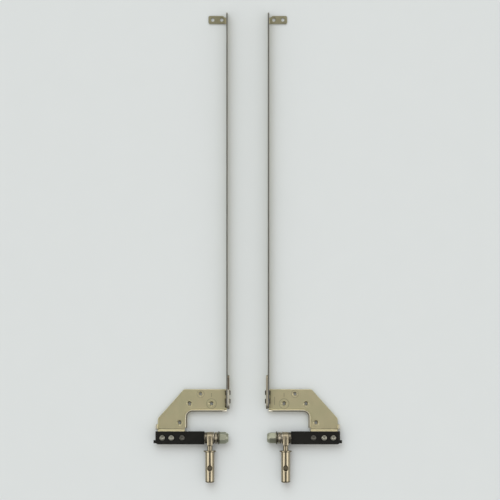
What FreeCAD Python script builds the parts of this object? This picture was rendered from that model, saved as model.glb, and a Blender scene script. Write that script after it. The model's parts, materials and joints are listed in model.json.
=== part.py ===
import FreeCAD, Part
import math
import os

# A pair of laptop hinges, mirror images of each other, lying on their plates.
# Millimetres. Each hinge is drawn in its own frame: x outward from the mirror plane,
# y along the side rail from the hinge axis, z up from the surface it lies on. The side rails
# and their tabs touch that surface, and the plates stand a little above it.

V = FreeCAD.Vector
X_AXIS = V(1, 0, 0)
Y_AXIS = V(0, 1, 0)
Z_AXIS = V(0, 0, 1)

# How far a cutter reaches past the faces that it goes through
cut_over = 1.0
# How close a place must be to count as the same
same_place = 1e-3

# Hinge axis and the running joint
axis_height = 3.8
journal_dia = 4.2
journal_clearance = 0.04
side_play = 0.02

# Stack along the axis, from the tang's shoulder inward
shoulder_x = 24.2
shoulder_washer_thick = 1.5
shoulder_washer_dia = 6.4
eye_thick = 3.0
friction_washer_thick = 0.9
friction_washer_dia = 6.8
spring_count = 2
spring_thick = 0.78
spring_dish = 0.28
spring_dia = 6.6
spring_gap = 0.02
ring_sides = 24
thrust_washer_thick = 0.8
thrust_washer_dia = 7.2
nut_length = 5.0
nut_across_flats = 5.8
nut_end_dia = 4.4
nut_dome_length = 1.8

# Shaft
key_flats = 3.2
key_clearance = 0.03
thread_dia = 3.4
thread_clearance = 0.03
thread_recess = 0.6
shoulder_boss = 0.5
tang_thick = 2.2
tang_width = 7.2
tang_end_x = 51.5
tang_corner = 1.6
tang_lip_thick = 0.9
tang_lip_rise = 0.4
tang_lip_inset = 0.3
nub_length = 1.1
nub_width = 1.7
nub_offset = 2.15

# Tang rivets
tang_rivet_xs = (47.8, 42.7)
inner_rivet_x = 36.7
tang_rivet_dia = 1.9
tang_rivet_head_dia = 3.1
tang_rivet_head_height = 0.5
rivet_clearance = 0.02
rivet_sides = 10

# Lid plate, folded from one sheet; heights are above the surface it lies on
sheet = 1.0
plate_lift = 1.0
bend_inside = 0.4
flange_x = 10.2
flange_height = 6.0
flange_end_y = 16.2
flange_tongue = 8.0
tongue_corner = 1.5
plate_top_y = 27.0
arm_bottom_y = 14.6
slope_top_x = 35.7
slope_end_x = 50.3
slope_end_y = 10.7
slope_corner = 1.5
notch_x = 33.9
notch_corner = 3.0
relief_width = 1.5
rim_height = 3.5
rim_break = 0.6
rim_end_y = 5.6
lip_top_y = 7.4
lip_height = 4.0
lip_reach = 1.2
joggle_y = 4.6
joggle_run = 0.9
strip_inner_x = 35.1
strip_end_y = -3.3
strip_corner = 1.2

# Lid plate screw holes: x, y and diameter
plate_hole_top = (26.4, 24.4, 2.3)
plate_hole_outer = (32.6, 18.95, 2.6)
plate_hole_inner = (20.3, 18.95, 2.6)
plate_hole_low = (38.2, 8.3, 2.6)

# Side rail
rail_thick = 0.8
rail_width = 6.0
rail_tip_y = 237.4
rail_tip_corner = 1.2
rail_tail_y = 16.6
rail_tail_gap = 0.8
rail_notch_gap = 0.4
rail_notch_radius = 0.8
panel_hole_dia = 2.0
panel_hole_height = 3.4
panel_hole_low_y = 51.0
panel_hole_tip_gap = 21.4

# Rail tip tab
tab_reach = 10.0
tab_length = 4.5
tab_drop = 1.5
tab_corner = 0.9
tab_relief = 0.9
tab_slot = 0.5
tab_hole_dia = 1.9
tab_hole_inset = 2.4
tab_hole_spacing = 5.0

# Rail rivets
rail_rivet_ys = (25.2, 20.5)
rail_rivet_height = 4.4
rail_rivet_dia = 1.6
rail_rivet_head_dia = 2.8
rail_rivet_head_height = 0.6

# Base post, turned about Y and milled at the eye
head_radius = 3.3
head_drop = 4.1
groove_width = 0.5
groove_dia = 2.2
neck_dia = 2.9
neck_end_drop = 7.1
collar_dia = 6.9
collar_thick = 0.7
barrel_dia = 5.1
post_reach = 25.0
barrel_chamfer = 0.5
cross_hole_drop = 16.9
cross_hole_dia = 2.4
cross_hole_sink = 0.6
cross_hole_depth = 3.6

# Places that follow from the sizes above
axis_y = (post_reach - rail_tip_y) / 2
eye_out_x = shoulder_x - shoulder_washer_thick - side_play
eye_in_x = eye_out_x - eye_thick
friction_out_x = eye_in_x - side_play
spring_out_x = friction_out_x - friction_washer_thick
spring_pitch = spring_thick + spring_dish + spring_gap
thrust_out_x = spring_out_x - spring_count * spring_pitch - spring_gap
nut_out_x = thrust_out_x - thrust_washer_thick
nut_in_x = nut_out_x - nut_length
tang_bottom = axis_height - tang_thick / 2
tang_top = axis_height + tang_thick / 2
strip_bottom = tang_bottom - sheet
plate_top = plate_lift + sheet
rail_x = flange_x + sheet
rail_tail_lift = plate_top + rail_tail_gap
panel_hole_ys = (panel_hole_low_y, rail_tip_y - panel_hole_tip_gap)
tab_top_y = rail_tip_y - tab_drop


def box(x0, x1, y0, y1, z0, z1):
    """A block between two corners."""
    return Part.makeBox(x1 - x0, y1 - y0, z1 - z0, V(x0, y0, z0))


def cylinder_x(dia, x0, x1):
    """A round bar along the hinge axis."""
    return Part.makeCylinder(dia / 2, x1 - x0, V(x0, 0, axis_height), X_AXIS)


def rounded_face(corners, lift):
    """A flat face from corners (x, y, radius), each corner rounded by its radius."""
    count = len(corners)
    stops = []
    for i, (x, y, radius) in enumerate(corners):
        here = V(x, y, lift)
        before = V(corners[i - 1][0], corners[i - 1][1], lift) - here
        after = V(corners[(i + 1) % count][0], corners[(i + 1) % count][1], lift) - here
        before.normalize()
        after.normalize()
        half = before.getAngle(after) / 2
        reach = radius / math.tan(half)
        middle = before + after
        if radius > 0:
            middle.normalize()
            crown = here + middle * (radius / math.sin(half) - radius)
        else:
            crown = here
        stops.append((here + before * reach, crown, here + after * reach, radius))
    edges = []
    for i, (start, crown, end, radius) in enumerate(stops):
        if radius > 0:
            edges.append(Part.Arc(start, crown, end).toShape())
        following = stops[(i + 1) % count][0]
        if end.distanceToPoint(following) > same_place:
            edges.append(Part.LineSegment(end, following).toShape())
    return Part.Face(Part.Wire(edges))


def prism(corners, z0, z1):
    """A rounded outline in plan, raised from z0 to z1."""
    return rounded_face(corners, z0).extrude(V(0, 0, z1 - z0))


def profile_yz(points, x0, x1):
    """A straight-sided section in the y-z plane, drawn along x."""
    wire = Part.makePolygon([V(x0, y, z) for y, z in points + points[:1]])
    return Part.Face(wire).extrude(V(x1 - x0, 0, 0))


def turned(points, centre, axis):
    """A section of (distance along the axis, radius) pairs, turned about the axis."""
    side = Z_AXIS
    wire = Part.makePolygon([centre + axis * d + side * r for d, r in points + points[:1]])
    return Part.Face(wire).revolve(centre, axis, 360)


def edges_near(shape, test):
    """The edges of a shape whose middle point and direction pass a test."""
    found = []
    for edge in shape.Edges:
        middle = edge.valueAt((edge.FirstParameter + edge.LastParameter) / 2)
        if test(middle, edge):
            found.append(edge)
    return found


def hole_z(x, y, dia, z0, z1):
    """A round cutter along z."""
    return Part.makeCylinder(dia / 2, z1 - z0, V(x, y, z0), Z_AXIS)


def hole_x(y, z, dia, x0, x1):
    """A round cutter along x."""
    return Part.makeCylinder(dia / 2, x1 - x0, V(x0, y, z), X_AXIS)


def keyed_bar(dia, flats, x0, x1):
    """A round bar along the hinge axis with two flats, facing up and down."""
    half = flats / 2
    slab = box(x0, x1, -dia, dia, axis_height - half, axis_height + half)
    return cylinder_x(dia, x0, x1).common(slab)


def key_hole(x0, x1):
    """The two-flat hole of the washers, a little larger than the shaft's key."""
    spare = 2 * key_clearance
    return keyed_bar(journal_dia + spare, key_flats + spare, x0, x1)


def plate_bends(plate):
    """Round the folds of flange and lip, outside and inside, and bevel the rim's lower edge."""
    lip_out = slope_end_x + lip_reach
    bends = (
        (sheet + bend_inside, lambda m, e: on_fold(m, e, flange_x, plate_lift)),
        (lip_reach, lambda m, e: on_fold(m, e, lip_out, plate_lift)),
        (bend_inside, lambda m, e: on_fold(m, e, rail_x, plate_top)),
        (lip_reach - sheet, lambda m, e: on_fold(m, e, lip_out - sheet, plate_top)),
    )
    for radius, test in bends:
        plate = plate.makeFillet(radius, edges_near(plate, test))
    return plate.makeChamfer(rim_break, edges_near(plate, on_rim))


def on_fold(middle, edge, x, z):
    """Whether an edge is the straight fold along y at this x and z."""
    along_y = abs(edge.tangentAt(edge.FirstParameter).y) > 0.99
    return along_y and abs(middle.x - x) < same_place and abs(middle.z - z) < same_place


def on_rim(middle, edge):
    """Whether an edge is the rim's lower outer edge, along the arm, round the notch or down it."""
    arc_x = notch_x - notch_corner
    arc_y = arm_bottom_y - notch_corner
    from_arc = math.hypot(middle.x - arc_x, middle.y - arc_y) - notch_corner
    on_arm = abs(middle.y - arm_bottom_y) < same_place and middle.x < arc_x
    on_leg = abs(middle.x - notch_x) < same_place and middle.y < arc_y
    on_arc = abs(from_arc) < same_place and middle.x > arc_x and middle.y > arc_y
    return abs(middle.z - plate_lift) < same_place and (on_arm or on_leg or on_arc)


def rim_outline():
    """The band of the stiffening rim, along the arm's lower edge and down the notch."""
    start = flange_x + relief_width
    return [
        (start, arm_bottom_y, 0),
        (notch_x, arm_bottom_y, notch_corner),
        (notch_x, rim_end_y, 0),
        (notch_x + sheet, rim_end_y, 0),
        (notch_x + sheet, arm_bottom_y + sheet, notch_corner + sheet),
        (start, arm_bottom_y + sheet, 0),
    ]


def lid_plate():
    """Folded plate: flat base, rail flange, stiffening rim, end lip and raised strip."""
    lip_out = slope_end_x + lip_reach
    relief_x = flange_x + relief_width
    base = prism(
        [
            (flange_x, plate_top_y, 0),
            (slope_top_x, plate_top_y, slope_corner),
            (slope_end_x, slope_end_y, slope_corner),
            (slope_end_x, lip_top_y, 0),
            (lip_out, lip_top_y, 0),
            (lip_out, joggle_y, 0),
            (strip_inner_x, joggle_y, 0),
            (strip_inner_x, rim_end_y, 0),
            (notch_x, rim_end_y, 0),
            (notch_x, arm_bottom_y, notch_corner),
            (relief_x, arm_bottom_y, 0),
            (relief_x, flange_end_y, 0),
            (flange_x, flange_end_y, 0),
        ],
        plate_lift,
        plate_top,
    )
    flange = box(flange_x, rail_x, flange_end_y, plate_top_y, plate_lift, flange_height)
    lip = box(lip_out - sheet, lip_out, joggle_y, lip_top_y, plate_lift, lip_height)
    rim = prism(rim_outline(), plate_lift, rim_height)
    plate = plate_bends(base.fuse([flange, lip, rim]).removeSplitter())
    plate = plate.fuse([flange_tongue_solid(), raised_strip()]).removeSplitter()
    low = plate_lift - cut_over
    high = plate_top + cut_over
    cutters = [hole_z(x, y, dia, low, high) for x, y, dia in plate_holes()]
    cutters += [tang_rivet_hole(x) for x in all_tang_rivets()]
    cutters += [rail_rivet_hole(y) for y in rail_rivet_ys]
    return plate.cut(cutters)


def plate_holes():
    """The four screw holes of the lid plate."""
    return (plate_hole_top, plate_hole_outer, plate_hole_inner, plate_hole_low)


def all_tang_rivets():
    """The x places of the three rivets through the tang."""
    return tang_rivet_xs + (inner_rivet_x,)


def flange_tongue_solid():
    """The rounded end of the flange, which backs the rail beyond the plate's top edge."""
    end_y = plate_top_y + flange_tongue
    tongue = box(flange_x, rail_x, plate_top_y, end_y, rail_tail_lift, flange_height)

    def at_end(middle, edge):
        along_x = abs(edge.tangentAt(edge.FirstParameter).x) > 0.99
        return along_x and middle.y > plate_top_y + same_place

    return tongue.makeFillet(tongue_corner, edges_near(tongue, at_end))


def raised_strip():
    """The joggled strip that carries the tang, one step above the plate."""
    rise = tang_bottom - plate_top
    slant = sheet * math.hypot(joggle_run, rise) / rise
    lean = joggle_run / rise
    section = [
        (joggle_y + sheet, plate_lift),
        (joggle_y + sheet, plate_top),
        (joggle_y, plate_top),
        (joggle_y - joggle_run, tang_bottom),
        (strip_end_y, tang_bottom),
        (strip_end_y, strip_bottom),
        (joggle_y - slant - (strip_bottom - plate_top) * lean, strip_bottom),
        (joggle_y - slant + sheet * lean, plate_lift),
    ]
    strip = profile_yz(section, strip_inner_x, slope_end_x)

    def at_corner(middle, edge):
        upright = abs(edge.tangentAt(edge.FirstParameter).z) > 0.99
        return upright and abs(middle.y - strip_end_y) < same_place

    return strip.makeFillet(strip_corner, edges_near(strip, at_corner))


def rivet_bar(start, axis, dia, length):
    """A rivet's shank, head or hole: a bar of few sides, which keeps the small rivets light."""
    across = X_AXIS if abs(axis.z) > 0.5 else Y_AXIS
    upward = axis.cross(across)
    points = []
    for i in range(rivet_sides + 1):
        turn = 2 * math.pi * (i % rivet_sides) / rivet_sides
        spoke = across * math.cos(turn) + upward * math.sin(turn)
        points.append(start + spoke * (dia / 2))
    return Part.Face(Part.makePolygon(points)).extrude(axis * length)


def rivet(start, axis, grip, shank_dia, head_dia, head_height):
    """A rivet through a grip that begins at start, with a head beyond each end of it."""
    shank = rivet_bar(start, axis, shank_dia, grip)
    near_head = rivet_bar(start - axis * head_height, axis, head_dia, head_height)
    far_head = rivet_bar(start + axis * grip, axis, head_dia, head_height)
    return shank.fuse([near_head, far_head]).removeSplitter()


def rail_rivet_hole(y):
    """Hole through the flange and the rail for one rivet."""
    start = V(flange_x - cut_over, y, rail_rivet_height)
    length = sheet + rail_thick + 2 * cut_over
    return rivet_bar(start, X_AXIS, rail_rivet_dia + 2 * rivet_clearance, length)


def tang_rivet_hole(x):
    """Hole through the raised strip and the tang for one rivet."""
    start = V(x, 0, strip_bottom - cut_over)
    length = sheet + tang_thick + 2 * cut_over
    return rivet_bar(start, Z_AXIS, tang_rivet_dia + 2 * rivet_clearance, length)


def side_rail():
    """Strip on edge with a notched tail, a bent tab at the tip and panel screw holes."""
    notch_y = plate_top_y + rail_notch_gap
    corner = [
        (rail_tail_y, rail_tail_lift, 0),
        (notch_y, rail_tail_lift, rail_notch_radius),
        (notch_y, 0, 0),
        (rail_tip_y, 0, 0),
        (rail_tip_y, rail_width, rail_tip_corner),
        (rail_tail_y, rail_width, rail_tip_corner),
    ]
    strip = rounded_face(corner, 0).extrude(V(0, 0, rail_thick))
    # lay the strip's outline (y, z) on edge: its thickness runs along x
    strip.rotate(V(0, 0, 0), V(1, 1, 1), 120)
    strip.translate(V(rail_x, 0, 0))
    rail = strip.fuse(rail_tab()).removeSplitter()
    rail = rail.makeFillet(bend_inside, edges_near(rail, tab_bend_inside))
    cutters = tab_bend_cutters() + [rail_rivet_hole(y) for y in rail_rivet_ys]
    far_side = rail_x + rail_thick + cut_over
    for y in panel_hole_ys:
        cutters.append(hole_x(y, panel_hole_height, panel_hole_dia, rail_x - cut_over, far_side))
    for x in tab_hole_xs():
        y = tab_top_y - tab_length / 2
        cutters.append(hole_z(x, y, tab_hole_dia, -cut_over, rail_thick + cut_over))
    return rail.cut(cutters)


def tab_hole_xs():
    """The x places of the tab's two screw holes."""
    outer = rail_x + rail_thick + tab_reach - tab_hole_inset
    return (outer, outer - tab_hole_spacing)


def rail_tab():
    """Flat tab at the rail's tip, with rounded outer corners and a relief beside the rail."""
    inner = rail_x
    outer = rail_x + rail_thick + tab_reach
    return prism(
        [
            (inner, tab_top_y - tab_length, 0),
            (outer, tab_top_y - tab_length, tab_corner),
            (outer, tab_top_y, tab_corner),
            (rail_x + rail_thick + 2 * tab_relief, tab_top_y, 0),
            (rail_x + rail_thick + tab_relief, tab_top_y - tab_relief, 0),
            (inner, tab_top_y - tab_relief, 0),
        ],
        0,
        rail_thick,
    )


def tab_bend_cutters():
    """What the tab's bend takes off the rail: its rounded outside and a relief slot at each end."""
    y0 = tab_top_y - tab_length
    y1 = tab_top_y - tab_relief
    radius = rail_thick + bend_inside
    roller = Part.makeCylinder(radius, y1 - y0, V(rail_x + radius, y0, radius), Y_AXIS)
    outside = box(rail_x, rail_x + radius, y0, y1, 0, radius).cut(roller)
    slots = [
        box(rail_x - cut_over, rail_x + rail_thick, start, start + tab_slot, -cut_over, radius + bend_inside)
        for start in (y0 - tab_slot, y1)
    ]
    return [outside] + slots


def tab_bend_inside(middle, edge):
    """The inside corner between the rail and its tab."""
    along_y = abs(edge.tangentAt(edge.FirstParameter).y) > 0.99
    from_bend = math.hypot(middle.x - rail_x - rail_thick, middle.z - rail_thick)
    return along_y and from_bend < same_place


def rail_rivets():
    """Two rivets through flange and rail, with a head on each side."""
    starts = [V(flange_x, y, rail_rivet_height) for y in rail_rivet_ys]
    grip = sheet + rail_thick
    return Part.makeCompound(
        [
            rivet(start, X_AXIS, grip, rail_rivet_dia, rail_rivet_head_dia, rail_rivet_head_height)
            for start in starts
        ]
    )


def tang_rivet(x):
    """One rivet through the raised strip and the tang."""
    start = V(x, 0, strip_bottom)
    grip = sheet + tang_thick
    return rivet(start, Z_AXIS, grip, tang_rivet_dia, tang_rivet_head_dia, tang_rivet_head_height)


def tang_rivets():
    """The two bright rivets at the outer end of the tang."""
    return Part.makeCompound([tang_rivet(x) for x in tang_rivet_xs])


def tang_rivet_inner():
    """The single rivet nearer the joint."""
    return tang_rivet(inner_rivet_x)


def pivot_shaft():
    """Flat tang with an upturned end, then the round journal, the keyed length and the thread."""
    half = tang_width / 2
    tang = prism(
        [
            (shoulder_x, -half, 0),
            (tang_end_x, -half, tang_corner),
            (tang_end_x, half, 0),
            (shoulder_x, half, 0),
        ],
        tang_bottom,
        tang_top,
    )
    lip_x = tang_end_x - tang_lip_thick
    lip_top = tang_top + tang_lip_rise
    lip = box(lip_x, tang_end_x, tang_corner - half, half - tang_lip_inset, tang_bottom, lip_top)
    nub_root = tang_end_x - tang_corner
    nub_low = -nub_offset - nub_width / 2
    nub = box(nub_root, tang_end_x + nub_length, nub_low, nub_low + nub_width, tang_bottom, tang_top)
    tang = tang.fuse([lip, nub]).removeSplitter()
    tang = tang.cut([tang_rivet_hole(x) for x in all_tang_rivets()])
    journal = cylinder_x(journal_dia, friction_out_x, shoulder_x + shoulder_boss)
    key = keyed_bar(journal_dia, key_flats, nut_out_x, friction_out_x)
    end_x = nut_in_x + thread_recess
    thread = cylinder_x(thread_dia, end_x, nut_out_x)
    return tang.fuse([journal, key, thread]).removeSplitter()


def flat_washer(dia, x0, x1):
    """A flat washer keyed to the shaft."""
    return cylinder_x(dia, x0, x1).cut(key_hole(x0 - cut_over, x1 + cut_over))


def journal_hole(x0, x1):
    """The round hole of the pieces that sit on the journal."""
    return cylinder_x(journal_dia + 2 * journal_clearance, x0 - cut_over, x1 + cut_over)


def shoulder_washer():
    """Thick washer on the round journal, between the tang's shoulder and the eye."""
    x0 = shoulder_x - shoulder_washer_thick
    return cylinder_x(shoulder_washer_dia, x0, shoulder_x).cut(journal_hole(x0, shoulder_x))


def friction_washer():
    """Flat washer that rubs on the eye."""
    return flat_washer(friction_washer_dia, spring_out_x, friction_out_x)


def disc_spring(index):
    """One dished spring washer. Every second one is turned round."""
    x1 = spring_out_x - spring_gap - index * spring_pitch
    x0 = x1 - spring_thick - spring_dish
    rim = spring_dia / 2
    bore = (journal_dia / 2 + key_clearance) / math.cos(math.pi / ring_sides)
    inner_shift = spring_dish if index % 2 == 0 else 0
    outer_shift = spring_dish - inner_shift
    section = [
        (inner_shift, bore),
        (inner_shift + spring_thick, bore),
        (outer_shift + spring_thick, rim),
        (outer_shift, rim),
    ]
    return sided_ring(section, V(x0, 0, axis_height))


def sided_ring(section, centre):
    """A section of (distance, radius) pairs carried round the hinge axis in flat steps."""
    rings = []
    for distance, radius in section:
        ring = []
        for i in range(ring_sides):
            turn = 2 * math.pi * i / ring_sides
            ring.append(centre + V(distance, radius * math.cos(turn), radius * math.sin(turn)))
        rings.append(ring)
    faces = []
    for ring, following in zip(rings, rings[1:] + rings[:1]):
        for i in range(ring_sides):
            corners = [ring[i - 1], ring[i], following[i], following[i - 1]]
            faces.append(Part.Face(Part.makePolygon(corners + corners[:1])))
    return Part.Solid(Part.Shell(faces))


def thrust_washer():
    """Larger washer under the nut."""
    return flat_washer(thrust_washer_dia, nut_out_x, thrust_out_x)


def lock_nut():
    """Hexagon nut with a corner up and a tapered far end."""
    corner = nut_across_flats / 2 / math.cos(math.pi / 6)
    hexagon = []
    for i in range(7):
        turn = math.radians(60 * i)
        hexagon.append(V(nut_in_x, corner * math.sin(turn), axis_height + corner * math.cos(turn)))
    body = Part.Face(Part.makePolygon(hexagon)).extrude(V(nut_length, 0, 0))
    spread = cut_over * (corner - nut_end_dia / 2) / nut_dome_length
    waste = [
        (-cut_over, nut_end_dia / 2 - spread),
        (nut_dome_length + cut_over, corner + spread),
        (-cut_over, corner + spread),
    ]
    taper = sided_ring(waste, V(nut_in_x, 0, axis_height))
    bore = cylinder_x(thread_dia + 2 * thread_clearance, nut_in_x - cut_over, nut_out_x + cut_over)
    return body.cut([taper, bore])


def base_post():
    """Post turned about y, milled to a flat eye at the top and cross-drilled in its barrel."""
    centre_x = (eye_in_x + eye_out_x) / 2
    centre = V(centre_x, 0, axis_height)
    neck = neck_dia / 2
    barrel = barrel_dia / 2
    collar = collar_dia / 2
    collar_end = neck_end_drop + collar_thick
    stem = turned(
        [
            (-head_radius, 0),
            (-head_radius, head_radius),
            (head_drop, head_radius),
            (head_drop, groove_dia / 2),
            (head_drop + groove_width, groove_dia / 2),
            (head_drop + groove_width, neck),
            (neck_end_drop, neck),
            (neck_end_drop, collar),
            (collar_end, collar),
            (collar_end, barrel),
            (cross_hole_drop, barrel),
            (cross_hole_drop, 0),
        ],
        centre,
        -Y_AXIS,
    )
    # the barrel's wall is in two lengths, which meet at the middle of the cross hole
    tip = turned(
        [
            (cross_hole_drop, 0),
            (cross_hole_drop, barrel),
            (post_reach - barrel_chamfer, barrel),
            (post_reach, barrel - barrel_chamfer),
            (post_reach, 0),
        ],
        centre,
        -Y_AXIS,
    )
    low = axis_height - collar_dia
    high = axis_height + collar_dia
    crown = cylinder_x(2 * head_radius, eye_in_x, eye_out_x)
    cheeks = crown.fuse(box(eye_in_x, eye_out_x, -head_drop, 0, low, high))
    shank_in = centre_x - collar_dia
    shank_out = centre_x + collar_dia
    shank = box(shank_in, shank_out, -post_reach - cut_over, -head_drop, low, high)
    post = stem.common(cheeks.fuse(shank)).removeSplitter()
    return post.fuse(tip).cut([journal_hole(eye_in_x, eye_out_x), cross_hole(centre_x)])


def cross_hole(centre_x):
    """Blind screw hole into the barrel along z, countersunk at its mouth."""
    y = -cross_hole_drop
    half = barrel_dia / 2
    radius = cross_hole_dia / 2
    top = half + cut_over
    floor = half - cross_hole_depth
    section = [
        (floor, 0),
        (floor, radius),
        (half - cross_hole_sink, radius),
        (top, radius + cross_hole_sink + cut_over),
        (top, 0),
    ]
    points = [V(centre_x + r, y, axis_height + d) for d, r in section]
    wire = Part.makePolygon(points + points[:1])
    return Part.Face(wire).revolve(V(centre_x, y, axis_height), Z_AXIS, 360)


def hinge_pieces():
    """All the pieces of one hinge, by name, in the hinge's own frame."""
    pieces = {
        "side_rail": side_rail(),
        "lid_plate": lid_plate(),
        "rail_rivets": rail_rivets(),
        "pivot_shaft": pivot_shaft(),
        "tang_rivets": tang_rivets(),
        "tang_rivet_inner": tang_rivet_inner(),
        "shoulder_washer": shoulder_washer(),
        "base_post": base_post(),
        "friction_washer": friction_washer(),
        "thrust_washer": thrust_washer(),
        "lock_nut": lock_nut(),
    }
    for index in range(spring_count):
        pieces[f"disc_spring_{index + 1}"] = disc_spring(index)
    return pieces


os.makedirs("parts", exist_ok=True)
for piece_name, shape in hinge_pieces().items():
    right = shape.copy()
    right.translate(V(0, axis_y, 0))
    left = right.mirror(V(0, 0, 0), X_AXIS)
    right.exportStep(f"parts/right_{piece_name}.step")
    left.exportStep(f"parts/left_{piece_name}.step")
    print(piece_name, len(right.Solids), right.isValid(), round(right.Volume, 3))
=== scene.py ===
# %% [markdown]
# # A pair of laptop hinges
# Two friction hinges, mirror images of each other, lie on a pale table and are seen from straight above.
# Each is a folded plate, a long side rail, a black pivot shaft with a stack of washers and a nut, and a
# turned post that goes into the computer's base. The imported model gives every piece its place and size,
# so this lesson only gives the pieces softer edges, rounder fasteners and real finishes.

# %% load the frame
import json
import math

import bmesh
import bpy
from mathutils import Matrix, Vector


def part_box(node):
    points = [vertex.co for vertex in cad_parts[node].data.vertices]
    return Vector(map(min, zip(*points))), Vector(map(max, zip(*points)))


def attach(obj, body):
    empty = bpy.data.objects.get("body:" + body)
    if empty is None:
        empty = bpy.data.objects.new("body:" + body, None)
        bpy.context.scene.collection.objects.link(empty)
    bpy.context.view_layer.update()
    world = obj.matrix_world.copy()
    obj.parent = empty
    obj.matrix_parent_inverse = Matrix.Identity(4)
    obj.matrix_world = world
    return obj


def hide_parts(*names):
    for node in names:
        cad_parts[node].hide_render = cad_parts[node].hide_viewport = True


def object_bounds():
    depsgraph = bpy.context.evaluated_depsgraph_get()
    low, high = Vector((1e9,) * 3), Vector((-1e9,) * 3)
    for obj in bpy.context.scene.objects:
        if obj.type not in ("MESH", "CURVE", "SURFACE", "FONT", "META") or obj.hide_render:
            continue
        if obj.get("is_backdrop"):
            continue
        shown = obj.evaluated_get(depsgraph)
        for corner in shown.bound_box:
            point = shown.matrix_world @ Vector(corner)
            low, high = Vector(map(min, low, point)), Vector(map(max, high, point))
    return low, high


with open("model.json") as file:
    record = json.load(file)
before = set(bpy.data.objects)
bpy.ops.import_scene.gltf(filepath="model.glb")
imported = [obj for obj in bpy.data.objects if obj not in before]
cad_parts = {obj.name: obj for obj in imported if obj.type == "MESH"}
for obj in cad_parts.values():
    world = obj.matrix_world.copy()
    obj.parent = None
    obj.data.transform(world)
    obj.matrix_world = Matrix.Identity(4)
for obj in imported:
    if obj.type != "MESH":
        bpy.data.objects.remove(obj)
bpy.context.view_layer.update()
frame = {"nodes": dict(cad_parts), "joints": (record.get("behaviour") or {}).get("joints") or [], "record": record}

MM = 0.001

# %% [markdown]
# ## The camera
# The picture was taken from above the middle of the pair, with the rails running up the frame. A short
# lens close by would show the insides of the rails and push the high pieces outward. The edges in the
# picture stay where the plan says they are, so the camera is far away, 1.4 m up, behind a long lens of
# 180 mm.

# %% camera
FRAME_WIDTH = 280.0 * MM
CAMERA_HEIGHT = 1400.0 * MM
CAMERA_PLACE = (1.26 * MM, -1.31 * MM, CAMERA_HEIGHT)
SENSOR = 36.0

camera_data = bpy.data.cameras.new("overhead_camera")
camera_data.sensor_width = SENSOR
camera_data.lens = SENSOR * CAMERA_HEIGHT / FRAME_WIDTH
camera = bpy.data.objects.new("overhead_camera", camera_data)
camera.location = CAMERA_PLACE
bpy.context.scene.collection.objects.link(camera)
bpy.context.scene.camera = camera
bpy.context.scene.view_settings.view_transform = "Standard"
print("camera: lens", round(camera_data.lens, 1), "mm")

# %% [markdown]
# ## Nodes without clutter
# Every finish below is a small network of shader nodes. They could be placed one by one, but that takes
# many lines for each sum. So one helper makes a node, sets its options and fills its sockets: a socket
# from another node is linked, and a plain value is typed in. The other helpers name the few sums that
# come back again and again, and the last one opens a node group with named sockets, so that an effect is
# built once and used in several metals.

# %% node helpers
MIX_COLOURS = (6, 7)
MIX_RESULT = 2


def node(tree, kind, sockets=None, **options):
    """A new node, with its options set and its input sockets linked or filled."""
    made = tree.nodes.new(kind)
    for option, value in options.items():
        setattr(made, option, value)
    for socket, value in (sockets or {}).items():
        if isinstance(value, bpy.types.NodeSocket):
            tree.links.new(value, made.inputs[socket])
        else:
            made.inputs[socket].default_value = value
    return made


def mix_colour(tree, factor, first, second):
    """A colour between two others."""
    sockets = {"Factor": factor}
    for place, value in zip(MIX_COLOURS, (first, second)):
        sockets[place] = value if isinstance(value, bpy.types.NodeSocket) else (*value, 1.0)
    return node(tree, "ShaderNodeMix", sockets, data_type="RGBA").outputs[MIX_RESULT]


def noise(tree, vector, **sockets):
    """The grey value of a noise texture."""
    return node(tree, "ShaderNodeTexNoise", {"Vector": vector, **sockets}).outputs["Fac"]


def attribute(tree, name):
    """The value of an attribute of the mesh."""
    return node(tree, "ShaderNodeAttribute", attribute_name=name).outputs["Fac"]


def split(tree, vector):
    """The three parts of a vector."""
    return node(tree, "ShaderNodeSeparateXYZ", {"Vector": vector}).outputs


print("helpers for nodes, colours, noise and attributes ready")

# %% sums
def math_node(tree, operation, first, second=0.0):
    """The result of one sum."""
    return node(tree, "ShaderNodeMath", {0: first, 1: second}, operation=operation).outputs[0]


def product(tree, value, *others):
    """Several masks or shares, multiplied."""
    for other in others:
        value = math_node(tree, "MULTIPLY", value, other)
    return value


def off_by(tree, value, middle):
    """How far a value lies from a middle, to either side."""
    return math_node(tree, "ABSOLUTE", math_node(tree, "SUBTRACT", value, middle))


def length_of(tree, across, along):
    """The long side of a right-angled triangle."""
    squares = [math_node(tree, "POWER", side, 2.0) for side in (across, along)]
    return math_node(tree, "SQRT", math_node(tree, "ADD", *squares))


def smooth_step(tree, value, low, high, start=0.0, end=1.0):
    """A soft change from start to end while the value goes from low to high."""
    sockets = {"Value": value, "From Min": low, "From Max": high, "To Min": start, "To Max": end}
    return node(tree, "ShaderNodeMapRange", sockets, interpolation_type="SMOOTHSTEP").outputs["Result"]


def soft_edge(tree, value, middle, half, start=0.0, end=1.0):
    """A soft change from start to end round a middle."""
    return smooth_step(tree, value, middle - half, middle + half, start, end)


print("helpers for sums ready")

# %% groups
def open_group(name, inputs, output):
    """An empty shader group with named sockets: the group, its inputs, and the socket for its result."""
    group = bpy.data.node_groups.new(name, "ShaderNodeTree")
    for socket, value in inputs.items():
        kind = "NodeSocketVector" if value is None else "NodeSocketFloat"
        made = group.interface.new_socket(socket, in_out="INPUT", socket_type=kind)
        if value is not None:
            made.default_value = value
    group.interface.new_socket(output, in_out="OUTPUT", socket_type="NodeSocketFloat")
    given = group.nodes.new("NodeGroupInput").outputs
    return group, given, group.nodes.new("NodeGroupOutput").inputs[output]


def use_group(tree, group, vector, **sockets):
    """The result of a shared group in a material, with its own values."""
    made = node(tree, "ShaderNodeGroup", node_tree=group)
    tree.links.new(vector, made.inputs["Vector"])
    for name, value in sockets.items():
        made.inputs[name.replace("_", " ")].default_value = value
    return made.outputs[0]


print("helpers for groups ready")

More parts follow.
